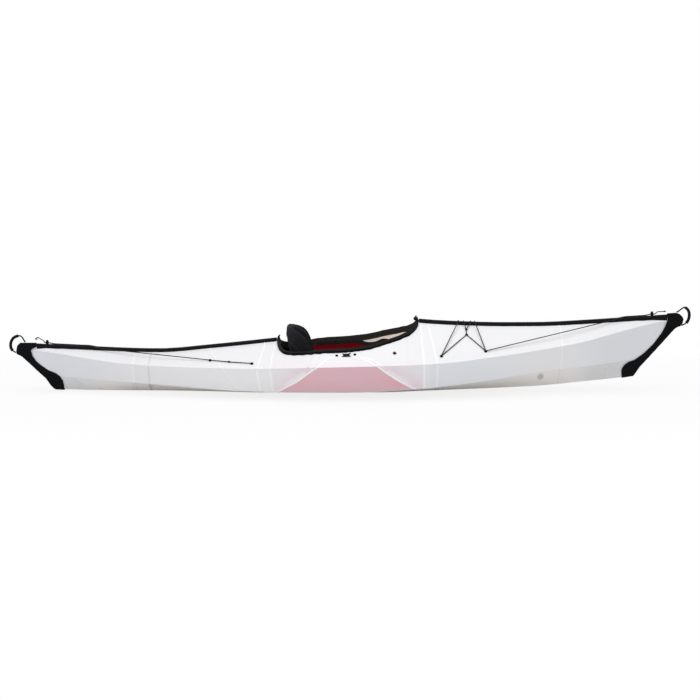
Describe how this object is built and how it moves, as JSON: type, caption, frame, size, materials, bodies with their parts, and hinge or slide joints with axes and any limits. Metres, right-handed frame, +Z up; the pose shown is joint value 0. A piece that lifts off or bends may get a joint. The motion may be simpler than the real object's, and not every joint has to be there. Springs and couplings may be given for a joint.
{
  "type": "folding kayak",
  "caption": "Single-seat folding kayak: a hull folded from creased plastic sheet, clamped by ridge channels and end fairings, with cockpit rim, seat, sliding footrest and deck cords.",
  "frame": {"origin": "middle of the boat's length and beam, under the flat keel strip", "axes": "+X towards the bow, +Y towards port, +Z up"},
  "size_m": [3.8168, 0.63, 0.4826],
  "materials": {
    "hull_sheet": "translucent twin-wall sheet",
    "floor_sheet": "red twin-wall sheet",
    "black_plastic": "satin moulded plastic",
    "grey_plastic": "satin moulded plastic",
    "webbing": "woven webbing",
    "cushion": "padded woven cloth",
    "cord": "braided cord",
    "foam": "closed-cell foam",
    "aluminium": "brushed tube"
  },
  "bodies": {
    "hull": {"hull_sheet": "hull_sheet", "front_deck_channel": "black_plastic", "rear_deck_channel": "black_plastic", "floorboard": "floor_sheet", "front_bulkhead": "hull_sheet", "rear_bulkhead": "hull_sheet", "seat_base": "foam", "seat_pad": "cushion", "seat_hinge_strap": "webbing", "front_deck_cord": "cord", "rear_deck_cord": "cord", "front_cord_lock": "black_plastic", "rear_cord_lock": "black_plastic", "footrest_strap_port": "webbing", "footrest_strap_starboard": "webbing", "side_clip_port": "black_plastic", "side_clip_starboard": "black_plastic", "deck_rivet_port": "black_plastic", "deck_rivet_starboard": "black_plastic", "clip_rivet_1_port": "black_plastic", "clip_rivet_2_port": "black_plastic", "clip_rivet_1_starboard": "black_plastic", "clip_rivet_2_starboard": "black_plastic", "front_anchor_1_port": "black_plastic", "front_anchor_2_port": "black_plastic", "rear_anchor_1_port": "black_plastic", "rear_anchor_2_port": "black_plastic", "front_anchor_1_starboard": "black_plastic", "front_anchor_2_starboard": "black_plastic", "rear_anchor_1_starboard": "black_plastic", "rear_anchor_2_starboard": "black_plastic"},
    "rim": {"coaming": "black_plastic", "coaming_front_buckle": "black_plastic", "coaming_rear_hook": "black_plastic", "coaming_rear_strap": "webbing", "coaming_rear_ring": "black_plastic", "side_strap_port": "webbing", "side_strap_starboard": "webbing", "side_strap_buckle_port": "grey_plastic", "side_strap_buckle_starboard": "grey_plastic"},
    "backrest": {"backrest_pad": "cushion"},
    "footrest": {"footrest_bar": "aluminium", "footrest_sleeve": "foam", "footrest_buckle_port": "black_plastic", "footrest_buckle_starboard": "black_plastic"},
    "bow_cap": {"bow_fairing": "black_plastic"},
    "stern_cap": {"stern_fairing": "black_plastic"},
    "bow_handle": {"bow_loop_cord": "cord", "bow_grip": "black_plastic"},
    "stern_handle": {"stern_loop_cord": "cord", "stern_grip": "black_plastic"},
    "front_button": {"front_lock_button": "black_plastic"},
    "rear_button": {"rear_lock_button": "black_plastic"}
  },
  "joints": [
    {"name": "rim_lift", "type": "slide", "parent": "hull", "child": "rim", "axis": [0, 0, 1], "range_m": [0, 0.08]},
    {"name": "backrest_fold", "type": "hinge", "parent": "hull", "child": "backrest", "pos_m": [-0.2605, 0, 0.082], "axis": [0, 1, 0], "range_deg": [0, 55]},
    {"name": "footrest_slide", "type": "slide", "parent": "hull", "child": "footrest", "axis": [0.9968, 0, 0.0797], "range_m": [-0.16, 0.16]},
    {"name": "bow_cap_pull", "type": "slide", "parent": "hull", "child": "bow_cap", "axis": [0.9945, 0, 0.1045], "range_m": [0, 0.35]},
    {"name": "stern_cap_pull", "type": "slide", "parent": "hull", "child": "stern_cap", "axis": [-0.999, 0, 0.0436], "range_m": [0, 0.28]},
    {"name": "bow_handle_swing", "type": "hinge", "parent": "bow_cap", "child": "bow_handle", "pos_m": [1.8281, 0, 0.4491], "axis": [0.3697, 0, -0.9291], "range_deg": [-75, 75]},
    {"name": "stern_handle_swing", "type": "hinge", "parent": "stern_cap", "child": "stern_handle", "pos_m": [-1.8178, 0, 0.2791], "axis": [-0.6669, 0, -0.7451], "range_deg": [-75, 75]},
    {"name": "front_button_press", "type": "slide", "parent": "hull", "child": "front_button", "axis": [0, 0, -1], "range_m": [0, 0.0045], "stiffness_N_per_m": 500, "springref_m": -0.002},
    {"name": "rear_button_press", "type": "slide", "parent": "hull", "child": "rear_button", "axis": [0, 0, -1], "range_m": [0, 0.0045], "stiffness_N_per_m": 500, "springref_m": -0.002}
  ]
}
